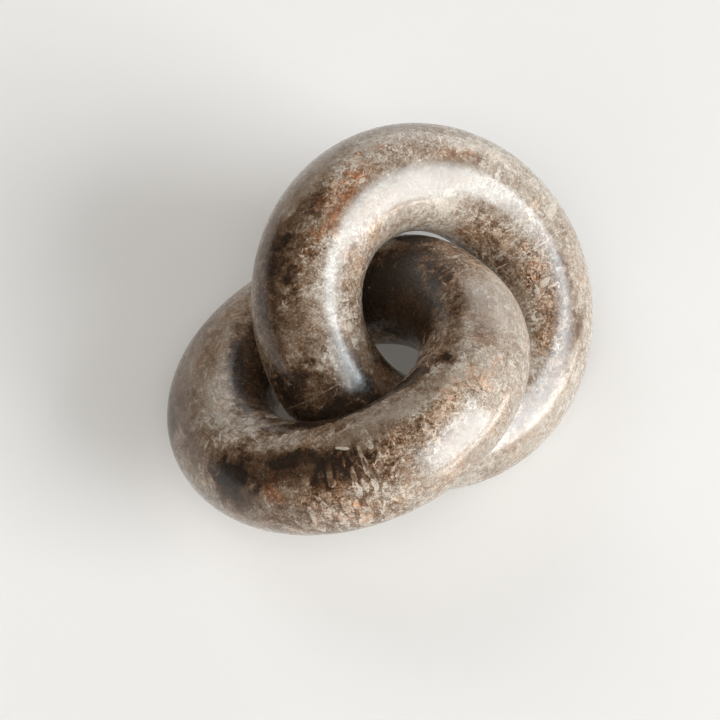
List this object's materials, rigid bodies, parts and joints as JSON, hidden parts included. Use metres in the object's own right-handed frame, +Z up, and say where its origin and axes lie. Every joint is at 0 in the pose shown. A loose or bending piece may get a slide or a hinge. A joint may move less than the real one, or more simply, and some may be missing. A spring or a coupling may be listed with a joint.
{
  "type": "marble chain sculpture",
  "caption": "Thick polished marble rings looped through each other like chain links, with a bonded saw cut. Lies on a table or shelf as an ornament or paperweight.",
  "frame": {"origin": "on the table, under the middle of the sculpture", "axes": "+X along the line of centres, from the whole link to the split link; +Y towards the raised side of the split link; +Z up"},
  "size_m": [0.1832, 0.126, 0.0893],
  "materials": {
    "whole_link_marble": "polished",
    "split_link_marble": "polished",
    "stone_resin": "polished flush"
  },
  "bodies": {
    "whole_link": {"whole_link": "whole_link_marble"},
    "split_link": {"split_link_upper_half": "split_link_marble", "split_link_lower_half": "split_link_marble", "outer_resin_joint": "stone_resin", "inner_resin_joint": "stone_resin"}
  },
  "joints": [
    {"name": "link_fold", "type": "hinge", "parent": "whole_link", "child": "split_link", "pos_m": [0, 0, 0.04467], "axis": [1, 0, 0], "range_deg": [0, 61.5]}
  ]
}
